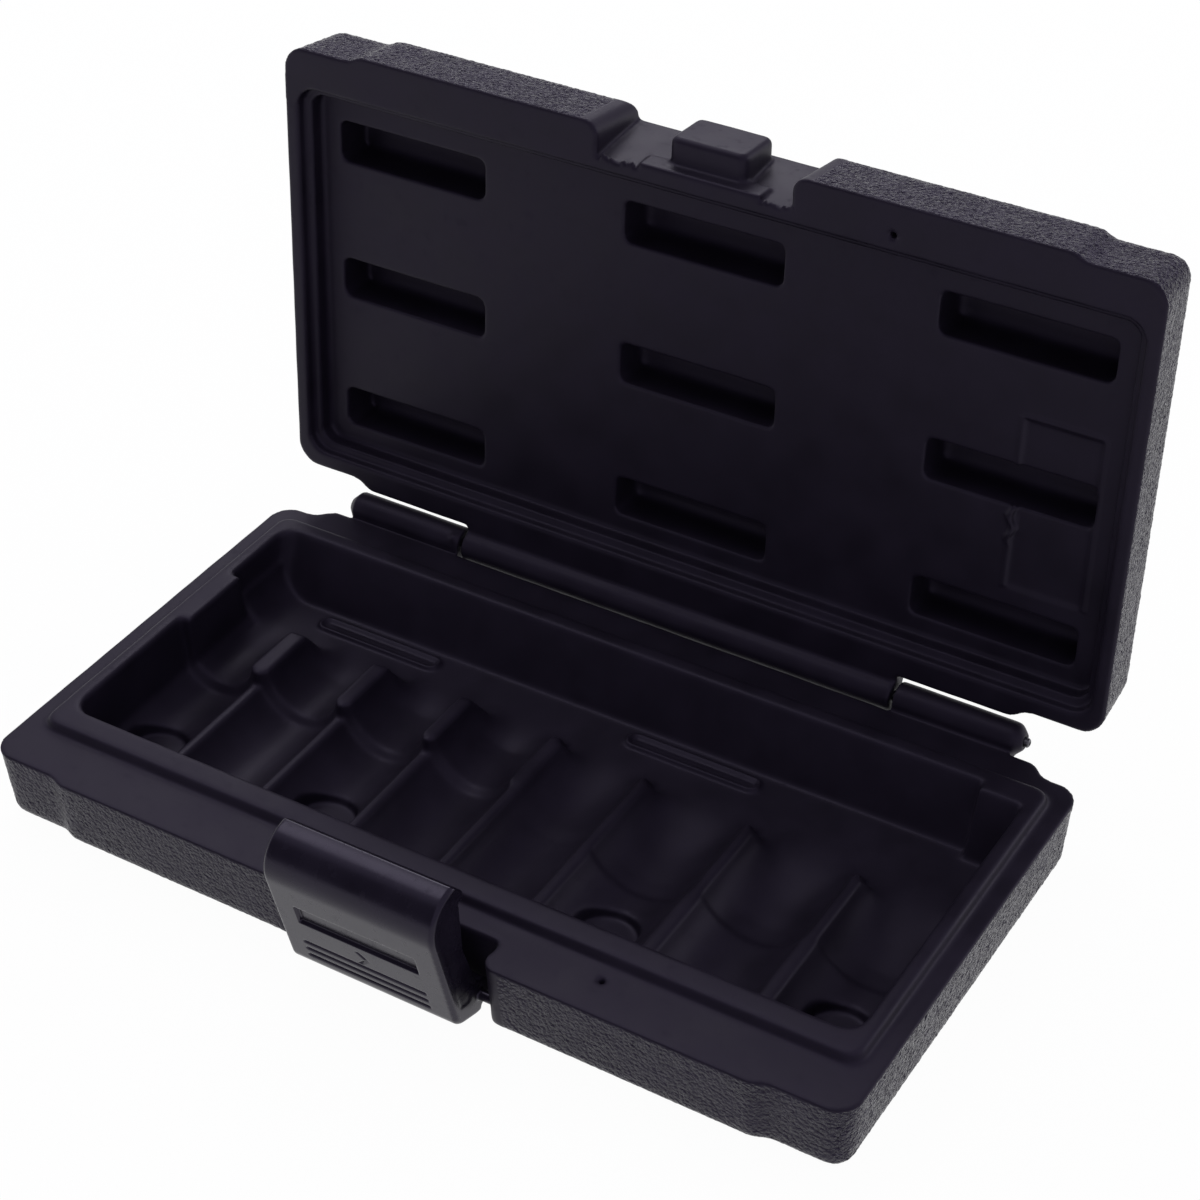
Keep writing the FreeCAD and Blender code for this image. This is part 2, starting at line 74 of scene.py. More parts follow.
def ease(low: float, high: float, values: np.ndarray) -> np.ndarray:
    """A smooth step.

    Args:
        low: where the step is 0; it may be more than high.
        high: where the step is 1.
        values: what is stepped.

    Returns:
        Numbers from 0 to 1.
    """
    share = np.clip((values - low) / (high - low), 0.0, 1.0)
    return share * share * (3.0 - 2.0 * share)


def span(low: float, high: float, soft: float, values: np.ndarray) -> np.ndarray:
    """A soft-edged stretch.

    Args:
        low: lower end of the stretch.
        high: upper end of the stretch.
        soft: half the width of each edge.
        values: what is looked up.

    Returns:
        1 inside the stretch, 0 outside it.
    """
    return ease(low - soft, low + soft, values) * ease(high + soft, high - soft, values)


def joint_turn(name: str, limit: Limit) -> Matrix:
    """The turn that takes a body from rest to the end of its joint's range.

    Args:
        name: the joint.
        limit: which end.

    Returns:
        The turn as a matrix.
    """
    joint = next(j for j in frame["record"]["behaviour"]["joints"] if j["name"] == name)
    away = Matrix.Translation(joint["pos_m"])
    angle = math.radians(joint["range_deg"][limit.value])
    return away @ Matrix.Rotation(angle, 4, Vector(joint["axis"])) @ away.inverted()


def add_object(name: str, data: bpy.types.ID) -> bpy.types.Object:
    """Puts a new object into the scene.

    Args:
        name: the object's name.
        data: its mesh, lamp or camera.

    Returns:
        The object.
    """
    item = bpy.data.objects.new(name, data)
    bpy.context.scene.collection.objects.link(item)
    return item


@dataclass(frozen=True)
class PebbleGrain:
    """The coarse moulded grain of the case's outside: rounded pebbles with narrow valleys between them."""

    cell: float = 1.6
    depth: float = 0.26
    valley: float = 0.5
    lowest_crown: float = 0.55
    crown_spread: float = 0.45
    seed: int = 11
    seed_step: int = 144665
    primes: tuple[int, int, int] = (374761393, 668265263, 1274126177)
    shifts: tuple[int, int] = (13, 16)
    word: int = 0xFFFFFFFF
    half_word: int = 0xFFFF

    def _draw(self, cells: np.ndarray, salt: int) -> np.ndarray:
        """A repeatable number from 0 to 1 for each lattice cell.

        Args:
            cells: whole lattice coordinates, one row per cell.
            salt: which of the cell's numbers is wanted.

        Returns:
            One number per cell.
        """
        mixed = cells @ np.array(self.primes)
        mixed = (mixed + (self.seed + salt) * self.seed_step) & self.word
        mixed = ((mixed ^ (mixed >> self.shifts[0])) * self.primes[2]) & self.word
        return ((mixed ^ (mixed >> self.shifts[1])) & self.half_word) / self.half_word

    def sink(self, points: np.ndarray) -> np.ndarray:
        """How far the grain lies below the tops of its tallest pebbles.

        Args:
            points: places in millimetres.

        Returns:
            Depths in millimetres, from 0 down to minus the grain's depth.
        """
        scaled = points / self.cell
        home = np.floor(scaled).astype(np.int64)
        nearest = np.full(len(points), np.inf)
        second = np.full(len(points), np.inf)
        tallness = np.zeros(len(points))
        for step in itertools.product((-1, 0, 1), repeat=3):
            cells = home + np.array(step)
            seeds = cells + np.stack([self._draw(cells, salt) for salt in range(3)], axis=1)
            reach = np.linalg.norm(scaled - seeds, axis=1)
            closer = reach < nearest
            second = np.where(closer, nearest, np.minimum(second, reach))
            tallness = np.where(closer, self._draw(cells, 3), tallness)
            nearest = np.where(closer, reach, nearest)
        crown = np.sqrt(np.clip((second - nearest) / self.valley, 0.0, 1.0))
        return (crown * (self.lowest_crown + self.crown_spread * tallness) - 1.0) * self.depth


@dataclass(frozen=True)
class SlowWave:
    """The faint unevenness of a blown skin, which cools without a core behind it."""

    height: float = 0.06
    length: float = 23.0
    quickening: float = 0.37
    shift: float = 1.9
    ways: tuple[tuple[float, float, float], ...] = (
        (1.0, 0.31, 0.17), (-0.42, 0.93, 0.29), (0.23, -0.35, 1.07), (0.71, 0.64, -0.58))

    def rise(self, points: np.ndarray) -> np.ndarray:
        """How far the skin stands out at each point.

        Args:
            points: places in millimetres.

        Returns:
            Heights in millimetres.
        """
        turns = 2.0 * math.pi / self.length
        waves = []
        for i, way in enumerate(self.ways):
            phase = points @ np.array(way) * turns * (1.0 + self.quickening * i)
            waves.append(np.sin(phase + self.shift * i))
        return self.height * sum(waves) / len(waves)


@dataclass(frozen=True)
class Speckle:
    """A noise over a surface: how many waves it has to a metre, and how many finer layers."""

    scale: float
    detail: float


class NodeBench:
    """The node tree of a material or a world, with short calls to add and join nodes."""

    def __init__(self, owner: bpy.types.Material | bpy.types.World) -> None:
        """Starts on the owner's own nodes."""
        owner.use_nodes = True
        self.tree = owner.node_tree

    def find(self, name: str) -> bpy.types.Node:
        """A node that the tree has already."""
        return self.tree.nodes[name]

    def add(self, kind: str, **values: object) -> bpy.types.Node:
        """Adds a node.

        Args:
            kind: the node's type.
            values: input sockets by name, with underscores for spaces.

        Returns:
            The node.
        """
        node = self.tree.nodes.new(kind)
        for socket, value in values.items():
            node.inputs[socket.replace("_", " ")].default_value = value
        return node

    def join(self, source: bpy.types.NodeSocket, target: bpy.types.NodeSocket) -> None:
        """Links an output to an input."""
        self.tree.links.new(source, target)

    def noise(self, place: bpy.types.NodeSocket, speckle: Speckle) -> bpy.types.NodeSocket:
        """A noise over a surface.

        Args:
            place: where the noise is looked up.
            speckle: how fine it is.

        Returns:
            The noise's value.
        """
        node = self.add("ShaderNodeTexNoise", Scale=speckle.scale, Detail=speckle.detail)
        self.join(place, node.inputs["Vector"])
        return node.outputs["Fac"]

    def remap(self, value: bpy.types.NodeSocket, start: tuple[float, float], end: tuple[float, float],
              interpolation: str = "LINEAR") -> bpy.types.NodeSocket:
        """A value moved from one range to another.

        Args:
            value: what is moved.
            start: the range that it comes from.
            end: the range that it goes to.
            interpolation: how it runs between the two ends.

        Returns:
            The moved value.
        """
        node = self.add("ShaderNodeMapRange", From_Min=start[0], From_Max=start[1], To_Min=end[0], To_Max=end[1])
        node.interpolation_type = interpolation
        self.join(value, node.inputs["Value"])
        return node.outputs["Result"]

    def ramp(self, value: bpy.types.NodeSocket, tints: tuple[tuple[float, ...], tuple[float, ...]],
             stops: tuple[float, float]) -> bpy.types.NodeSocket:
        """A colour that runs between two tints.

        Args:
            value: what the colour follows.
            tints: the first and the last tint.
            stops: the values that have these tints.

        Returns:
            The colour.
        """
        node = self.add("ShaderNodeValToRGB")
        for element, stop, tint in zip(node.color_ramp.elements, stops, tints):
            element.position = stop
            element.color = (*tint, 1.0)
        self.join(value, node.inputs["Fac"])
        return node.outputs["Color"]

    def maths(self, operation: str, first: bpy.types.NodeSocket,
              second: bpy.types.NodeSocket) -> bpy.types.NodeSocket:
        """Two values put together.

        Args:
            operation: what is done with them.
            first: a node's output.
            second: another output.

        Returns:
            The result.
        """
        node = self.add("ShaderNodeMath")
        node.operation = operation
        self.join(first, node.inputs[0])
        self.join(second, node.inputs[1])
        return node.outputs[0]

    def cells(self, place: bpy.types.NodeSocket, scale: float, drift: Speckle,
              wobble: float) -> bpy.types.NodeSocket:
        """How far each place is from the middle of its pebble, in a field of uneven pebbles.

        Args:
            place: where the field is looked up.
            scale: how many pebbles there are to a metre.
            drift: the noise that moves their outlines.
            wobble: how far the outlines wander, in metres.

        Returns:
            The distance, as a share of a pebble's size.
        """
        drifted = self.add("ShaderNodeTexNoise", Scale=drift.scale, Detail=drift.detail)
        moved = self.add("ShaderNodeVectorMath")
        moved.operation = "MULTIPLY_ADD"
        moved.inputs[1].default_value = (wobble, wobble, wobble)
        field_node = self.add("ShaderNodeTexVoronoi", Scale=scale)
        self.join(place, drifted.inputs["Vector"])
        self.join(drifted.outputs["Color"], moved.inputs[0])
        self.join(place, moved.inputs[2])
        self.join(moved.outputs["Vector"], field_node.inputs["Vector"])
        return field_node.outputs["Distance"]

    def blend(self, share: bpy.types.NodeSocket, first: bpy.types.Node, second: bpy.types.Node,
              output: str) -> None:
        """Lets the tree show a mix of two shaders.

        Args:
            share: how much of the second one is shown.
            first: a shader.
            second: another shader.
            output: the name of the tree's output node.
        """
        mix = self.add("ShaderNodeMixShader")
        self.join(share, mix.inputs[0])
        self.join(first.outputs[0], mix.inputs[1])
        self.join(second.outputs[0], mix.inputs[2])
        self.join(mix.outputs[0], self.find(output).inputs["Surface"])


@dataclass(frozen=True)
class MouldedPlastic:
    """A black moulded plastic with mottling, faint scuffs and a finely bumped skin."""

    name: str
    colour: tuple[float, float, float]
    roughness: float
    grain_roughness: float
    specular: float
    skin_bump: float
    refraction: float = 1.5
    sheen_tint: tuple[float, float, float] = (0.8, 0.72, 1.0)
    grain_tint: tuple[float, float, float] = (1.1, 1.0, 1.35)
    mottle: Speckle = Speckle(70.0, 6.0)
    mottle_tones: tuple[float, float] = (0.8, 1.25)
    mottle_stops: tuple[float, float] = (0.3, 0.75)
    mottle_range: tuple[float, float] = (0.3, 0.7)
    mottle_roughness: tuple[float, float] = (-0.04, 0.05)
    scuff: Speckle = Speckle(320.0, 4.0)
    scuff_range: tuple[float, float] = (0.58, 0.72)
    scuff_roughness: tuple[float, float] = (0.0, 0.08)
    skin: Speckle = Speckle(2600.0, 3.0)
    skin_rise: float = 0.1
    pebble_scale: float = 780.0
    pebble_rise: float = 0.8
    pebble_wobble: float = 0.5
    pebble_drift: Speckle = Speckle(1014.0, 2.0)
    pebble_lumps: Speckle = Speckle(1170.0, 2.0)

    def tone(self, bench: NodeBench, mottle: bpy.types.NodeSocket,
             grain: bpy.types.NodeSocket) -> bpy.types.NodeSocket:
        """The colour, which is mottled and tinted where there is grain.

        Args:
            bench: the material's nodes.
            mottle: the mottling noise.
            grain: how much grain there is.

        Returns:
            The colour.
        """
        dark, light = (tuple(share * c for c in self.colour) for share in self.mottle_tones)
        product = bench.add("ShaderNodeVectorMath")
        product.operation = "MULTIPLY"
        bench.join(bench.ramp(mottle, (dark, light), self.mottle_stops), product.inputs[0])
        bench.join(bench.ramp(grain, (WHITE, self.grain_tint), WHOLE_RANGE), product.inputs[1])
        return product.outputs["Vector"]

    def polish(self, bench: NodeBench, place: bpy.types.NodeSocket, mottle: bpy.types.NodeSocket,
               grain: bpy.types.NodeSocket) -> bpy.types.NodeSocket:
        """The roughness, which differs on the grain and is uneven with rubbed spots.

        Args:
            bench: the material's nodes.
            place: where the scuffs are looked up.
            mottle: the mottling noise.
            grain: how much grain there is.

        Returns:
            The roughness.
        """
        coarse = bench.remap(grain, WHOLE_RANGE, (self.roughness, self.grain_roughness))
        uneven = bench.remap(mottle, self.mottle_range, self.mottle_roughness)
        rubbed = bench.remap(bench.noise(place, self.scuff), self.scuff_range, self.scuff_roughness)
        return bench.maths("ADD", coarse, bench.maths("ADD", uneven, rubbed))

    def relief(self, bench: NodeBench, place: bpy.types.NodeSocket,
               grain: bpy.types.NodeSocket) -> bpy.types.NodeSocket:
        """The fine bumps of the skin, and small pebbles where there is grain.

        Args:
            bench: the material's nodes.
            place: where the bumps are looked up.
            grain: how much grain there is.

        Returns:
            The bumped normal.
        """
        skin = bench.add("ShaderNodeBump", Strength=self.skin_bump, Distance=self.skin_rise * MM)
        bench.join(bench.noise(place, self.skin), skin.inputs["Height"])
        pebble = bench.cells(place, self.pebble_scale, self.pebble_drift, self.pebble_wobble / self.pebble_scale)
        dome = bench.maths("SUBTRACT", bench.noise(place, self.pebble_lumps),
                           bench.maths("MULTIPLY", pebble, pebble))
        bumps = bench.add("ShaderNodeBump", Strength=1.0, Distance=self.pebble_rise * MM)
        bench.join(bench.maths("MULTIPLY", dome, grain), bumps.inputs["Height"])
        bench.join(skin.outputs["Normal"], bumps.inputs["Normal"])
        return bumps.outputs["Normal"]

    def material(self) -> bpy.types.Material:
        """The finish as a node material.

        Returns:
            The new material.
        """
        material = bpy.data.materials.new(self.name)
        bench = NodeBench(material)
        shader = bench.find("Principled BSDF")
        shader.inputs["IOR"].default_value = self.refraction
        shader.inputs["Specular IOR Level"].default_value = self.specular
        shader.inputs["Specular Tint"].default_value = (*self.sheen_tint, 1.0)
        place = bench.add("ShaderNodeTexCoord").outputs["Object"]
        layer = bench.add("ShaderNodeAttribute")
        layer.attribute_name = GRAIN_LAYER
        grain = layer.outputs["Fac"]
        mottle = bench.noise(place, self.mottle)
        bench.join(self.tone(bench, mottle, grain), shader.inputs["Base Color"])
        bench.join(self.polish(bench, place, mottle, grain), shader.inputs["Roughness"])
        bench.join(self.relief(bench, place, grain), shader.inputs["Normal"])
        return material


@dataclass(frozen=True)
class DrawnSteel:
    """Darkened drawn wire, stained in places, with lines along its length."""

    name: str = "pin_steel"
    colour: tuple[float, float, float] = (0.16, 0.16, 0.17)
    stain: Speckle = Speckle(400.0, 5.0)
    stain_tone: float = 0.6
    stain_stops: tuple[float, float] = (0.35, 0.7)
    lines: Speckle = Speckle(5000.0, 3.0)
    lines_stretch: tuple[float, float, float] = (0.04, 1.0, 1.0)
    lines_range: tuple[float, float] = (0.3, 0.7)
    lines_roughness: tuple[float, float] = (0.32, 0.55)
    lines_bump: float = 0.25
    lines_rise: float = 0.05

    def material(self) -> bpy.types.Material:
        """The finish as a node material.

        Returns:
            The new material.
        """
        material = bpy.data.materials.new(self.name)
        bench = NodeBench(material)
        shader = bench.find("Principled BSDF")
        shader.inputs["Metallic"].default_value = 1.0
        place = bench.add("ShaderNodeTexCoord").outputs["Object"]
        stretch = bench.add("ShaderNodeMapping", Scale=self.lines_stretch)
        bench.join(place, stretch.inputs["Vector"])
        lines = bench.noise(stretch.outputs["Vector"], self.lines)
        stain = bench.noise(place, self.stain)
        dark = tuple(self.stain_tone * c for c in self.colour)
        bench.join(bench.ramp(stain, (dark, self.colour), self.stain_stops), shader.inputs["Base Color"])
        bench.join(bench.remap(lines, self.lines_range, self.lines_roughness), shader.inputs["Roughness"])
        bump = bench.add("ShaderNodeBump", Strength=self.lines_bump, Distance=self.lines_rise * MM)
        bench.join(lines, bump.inputs["Height"])
        bench.join(bump.outputs["Normal"], shader.inputs["Normal"])
        return material


@dataclass
class MouldedPiece:
    """A moulded piece: its solid with softened edges, its grain and the marks of its tool."""

    node: str
    body: str
    slot: str
    finish: MouldedPlastic
    voxel: float
    smooth_passes: int
    sag_passes: int = 0
    pull: float = 0.5
    triangle_limit: int = 195000
    shut: Matrix = field(default_factory=lambda: Matrix.Identity(4))

    def evaluated(self, mesh: bpy.types.Mesh, modifiers: list[tuple[str, dict[str, object]]]) -> bpy.types.Mesh:
        """A mesh after a stack of modifiers.

        Args:
            mesh: the mesh to start from, which is used up.
            modifiers: each modifier's type and settings.

        Returns:
            The new mesh.
        """
        worked = add_object(self.node + "_work", mesh)
        for kind, settings in modifiers:
            modifier = worked.modifiers.new(kind.lower(), kind)
            for name, value in settings.items():
                setattr(modifier, name, value)
        bpy.context.view_layer.update()
        seen = worked.evaluated_get(bpy.context.evaluated_depsgraph_get())
        result = bpy.data.meshes.new_from_object(seen)
        bpy.data.objects.remove(worked)
        bpy.data.meshes.remove(mesh)
        return result

    def solid(self) -> bpy.types.Mesh:
        """A copy of the piece's solid in its shut pose.

        Returns:
            The copy.
        """
        mesh = frame["nodes"][self.node].data.copy()
        mesh.transform(self.shut)
        return mesh

    def relax(self, points: np.ndarray, edges: np.ndarray, pull: np.ndarray, passes: int) -> None:
        """Draws points towards the middle of their neighbours.

        Args:
            points: the points, which are moved.
            edges: pairs of neighbours.
            pull: how far each point goes in one pass, from 0 to 1.
            passes: how often it is done.
        """
        moving = (pull[edges] > 0.0).any(axis=1)
        used, ends = np.unique(edges[moving], return_inverse=True)
        first, second = ends.reshape(-1, 2).T
        count = len(used)
        ties = np.bincount(first, minlength=count) + np.bincount(second, minlength=count)
        for axis in range(3):
            line = points[used, axis]
            for _ in range(passes):
                around = np.bincount(first, line[second], count) + np.bincount(second, line[first], count)
                line += pull[used] * (around / ties - line)
            points[used, axis] = line

    def soften(self) -> bpy.types.Mesh:
        """Rebuilds the solid as an even mesh, in its shut pose, with rounded edges.

        Returns:
            The new mesh.
        """
        mesh = self.evaluated(self.solid(), [("REMESH", {"mode": "VOXEL", "voxel_size": self.voxel})])
        points, _ = self.read(mesh)
        edges = np.empty(2 * len(mesh.edges), np.int32)
        mesh.edges.foreach_get("vertices", edges)
        edges = edges.reshape(-1, 2)
        self.relax(points, edges, self.pull * self.softness(points), self.smooth_passes)
        self.relax(points, edges, self.pull * self.sag(points), self.sag_passes)
        self.write(mesh, points + self.trim(points))
        return mesh

    def softness(self, points: np.ndarray) -> np.ndarray:
        """How readily each point is drawn to its neighbours as the edges are rounded: fully on a plain piece."""
        return np.ones(len(points))

    def sag(self, points: np.ndarray) -> np.ndarray:
        """Where the skin is drawn out into one flowing surface, from 0 to 1: nowhere on a plain piece."""
        return np.zeros(len(points))

    def trim(self, points: np.ndarray) -> np.ndarray:
        """How the trimmed flash moves each point, in millimetres: not at all on a plain piece."""
        return np.zeros_like(points)

    def grain(self, points: np.ndarray, normals: np.ndarray) -> np.ndarray:
        """How much grain each point takes, from 0 to 1: none on a smooth piece."""
        return np.zeros(len(points))

    def press(self, points: np.ndarray, normals: np.ndarray) -> np.ndarray:
        """How far the tool's marks move each point along its normal, in millimetres: none on a plain piece."""
        return np.zeros(len(points))

    def write(self, mesh: bpy.types.Mesh, points: np.ndarray) -> None:
        """Puts moved points, in millimetres, back into their mesh."""
        mesh.vertices.foreach_set("co", (points * MM).astype(np.float32).ravel())
        mesh.update()

    def read(self, mesh: bpy.types.Mesh) -> tuple[np.ndarray, np.ndarray]:
        """A mesh's points in millimetres, and its normals.

        Args:
            mesh: the mesh.

        Returns:
            The points and the normals, one row each.
        """
        count = len(mesh.vertices)
        points = np.empty(count * 3, np.float32)
        normals = np.empty(count * 3, np.float32)
        mesh.vertices.foreach_get("co", points)
        mesh.vertex_normals.foreach_get("vector", normals)
        return points.reshape(-1, 3).astype(float) / MM, normals.reshape(-1, 3).astype(float)

    def build(self) -> bpy.types.Object:
        """Makes the piece, seats it on its body and lets it stand for its solid.

        Returns:
            The piece.
        """
        mesh = self.soften()
        points, normals = self.read(mesh)
        points += normals * self.press(points, normals)[:, None]
        self.write(mesh, points)
        triangles = 2 * len(mesh.polygons)
        if triangles > self.triangle_limit:
            mesh = self.evaluated(mesh, [("DECIMATE", {"ratio": self.triangle_limit / triangles})])
        points, normals = self.read(mesh)
        layer = mesh.attributes.new(GRAIN_LAYER, "FLOAT", "POINT")
        layer.data.foreach_set("value", self.grain(points, normals).astype(np.float32))
        mesh.transform(self.shut.inverted())
        mesh.shade_smooth()
        piece = add_object(self.node + "_skin", mesh)
        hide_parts(self.node)
        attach(piece, self.body)
        log.info("%s: %d faces", piece.name, len(mesh.polygons))
        return piece

    def dress(self, piece: bpy.types.Object) -> None:
        """Gives the piece its finish."""
        piece.data.materials.clear()
        piece.data.materials.append(self.finish.material())


@dataclass
class HalfShell(MouldedPiece):
    """One blown half of the case, pebbled outside and smooth inside and on its flange."""

    outward: Outward = Outward.DOWN
    outward_tilt: float = 0.3
    outward_away: float = 17.5
    flange_z: float = 25.0
    flange_band: float = 2.5
    wall_x: float = 141.2
    wall_front_y: float = -68.5
    wall_back_y: float = 71.2
    wall_tilt: float = 0.9
    smooth_band: tuple[float, float] = (0.4, 1.2)
    recess_x: float = 37.5
    recess_fade: float = 1.5
    recess_depth: float = 8.0
    knuckle_span: tuple[float, float] = (-126.0, 125.0)
    knuckle_reach: float = 14.0
    inner_softness: float = 1.0
    edge_softness: float = 0.25
    front_grain: float = 1.0
    front_turn: float = 0.5
    pebbles: PebbleGrain = PebbleGrain()
    wave: SlowWave = SlowWave()

    def walls(self, points: np.ndarray) -> np.ndarray:
        """Which points lie on the outer walls."""
        x, y, _ = points.T
        return (np.abs(x) > self.wall_x) | (y < self.wall_front_y) | (y > self.wall_back_y)

    def softness(self, points: np.ndarray) -> np.ndarray:
        """How readily each point is drawn to its neighbours: little at the outer edge of the flange.

        Args:
            points: places in millimetres with the case shut.

        Returns:
            Shares from 0 to 1.
        """
        edge = self.walls(points) & (np.abs(points[:, 2] - self.flange_z) < self.flange_band)
        return np.where(edge, self.edge_softness, self.inner_softness)

    def grain(self, points: np.ndarray, normals: np.ndarray) -> np.ndarray:
        """How much of the pebbled grain each point takes.

        Args:
            points: places in millimetres with the case shut.
            normals: the skin's normals there.

        Returns:
            Shares from 0 to 1.
        """
        x, y, z = points.T
        away = np.abs(z - self.flange_z)
        face = (normals[:, 2] * self.outward.value > self.outward_tilt) & (away > self.outward_away)
        share = (self.walls(points) | face) * ease(*self.smooth_band, away)
        beside = ease(self.recess_x, self.recess_x + self.recess_fade, np.abs(x))
        share = np.where(y < self.wall_front_y + self.recess_depth, share * beside, share)
        front = (y < self.wall_front_y) & (np.abs(normals[:, 0]) < self.front_turn)
        share = np.where(front, share * self.front_grain, share)
        near_hinge = (y > self.wall_back_y) & (x > self.knuckle_span[0]) & (x < self.knuckle_span[1])
        return np.where(near_hinge & (away < self.knuckle_reach), 0.0, share)

    def press(self, points: np.ndarray, normals: np.ndarray) -> np.ndarray:
        """The pebbles of the walls and the unevenness of the skin.

        Args:
            points: places in millimetres with the case shut.
            normals: the skin's normals there.

        Returns:
            Moves along the normals in millimetres.
        """
        share = self.grain(points, normals)
        moves = self.wave.rise(points) * (1.0 - share)
        grained = (share > 0.0) & (np.abs(normals[:, 2]) < self.wall_tilt)
        moves[grained] += share[grained] * self.pebbles.sink(points[grained])
        return moves


@dataclass
class BaseShell(HalfShell):
    """The base, with a ridged ring round each low rib of its shelf and troughs that flow into the shelf."""

    ring_x: tuple[float, ...] = (-87.0, 30.0)
    ring_y: float = 46.6
    ring_reach: float = 20.0
    ring_radius: float = 2.7
    ring_height: float = 0.75
    ring_width: float = 0.85
    rib_height: float = 1.0
    rib_radius: float = 1.35
    shelf_z: float = 7.0
    shelf_band: float = 1.6
    shelf_tilt: float = 0.6
    divider_x: tuple[float, ...] = (-103.6, -71.4, -39.2, -7.0, 25.2, 62.5, 99.8)
    divider_fade: tuple[float, float] = (2.5, 7.0)
    slim_end_x: float = -7.0
    sag_start: tuple[float, float] = (24.0, -2.0)
    sag_start_fade: float = 8.0
    sag_end: float = 39.0
    sag_end_fade: float = 4.0
    sag_x: float = 127.0
    sag_z: tuple[float, float] = (0.8, 15.0)
    crisp_back: tuple[float, float] = (70.0, 95.0)
    back_edge: tuple[float, float] = (78.6, 23.4)
    back_edge_fade: tuple[float, float] = (0.6, 0.8)
    flash_length: float = 0.4
    flash_room: tuple[float, float] = (1.4, 0.2)
    knob: tuple[float, float, float] = (-80.6, 81.8, 29.9)
    knob_size: float = 1.5
    knob_rise: float = 0.6

    def softness(self, points: np.ndarray) -> np.ndarray:
        """How readily each point is drawn to its neighbours: the back edge stays crisp up to its right end.

        Args:
            points: places in millimetres.

        Returns:
            Shares from 0 to 1.
        """
        x, y, _ = points.T
        return super().softness(points) * np.where(y > self.wall_back_y, ease(*self.crisp_back, x), 1.0)

    def trim(self, points: np.ndarray) -> np.ndarray:
        """The thin flash along the back edge, which fades towards the right.

        Args:
            points: places in millimetres.

        Returns:
            Moves in millimetres.
        """
        x, y, z = points.T
        edge_y, edge_z = self.back_edge
        fade_y, fade_z = self.back_edge_fade
        edge = ease(edge_y, edge_y + fade_y, y) * ease(edge_z, edge_z + fade_z, z)
        low = (z < self.flange_z + self.flash_room[1]) & (y < edge_y + self.flash_room[0])
        moves = np.zeros_like(points)
        moves[:, 1] = self.flash_length * edge * low * ease(self.crisp_back[1], self.crisp_back[0], x)
        return moves

    def sag(self, points: np.ndarray) -> np.ndarray:
        """Where the troughs' rear ends flow into the shelf, between the dividers.

        Args:
            points: places in millimetres.

        Returns:
            Shares from 0 to 1.
        """
        x, y, z = points.T
        apart = np.min(np.abs(x[:, None] - np.array(self.divider_x)), axis=1)
        starts = np.where(x < self.slim_end_x, *self.sag_start)
        begun = ease(0.0, self.sag_start_fade, y - starts)
        ended = ease(self.sag_end + self.sag_end_fade, self.sag_end - self.sag_end_fade, y)
        inside = (z > self.sag_z[0]) & (z < self.sag_z[1]) & (np.abs(x) < self.sag_x)
        return inside * (begun * ended) * ease(*self.divider_fade, apart)

    def press(self, points: np.ndarray, normals: np.ndarray) -> np.ndarray:
        """The marks of a half, with the rings and a scrap of flash at a knuckle's end.

        Args:
            points: places in millimetres.
            normals: the skin's normals there.

        Returns:
            Moves along the normals in millimetres.
        """
        moves = super().press(points, normals)
        x, y, z = points.T
        shelf = (normals[:, 2] > self.shelf_tilt) & (np.abs(z - self.shelf_z) < self.shelf_band)
        for middle in self.ring_x:
            reach = np.hypot(np.maximum(np.abs(x - middle) - self.ring_reach, 0.0), y - self.ring_y)
            ring = self.ring_height * np.exp(-((reach - self.ring_radius) / self.ring_width) ** 2)
            moves += shelf * (ring - self.rib_height * ease(self.ring_radius, self.rib_radius, reach))
        away = np.linalg.norm(points - np.array(self.knob), axis=1) / self.knob_size
        return moves + self.knob_rise * self.knob_size * np.exp(-away ** 2)


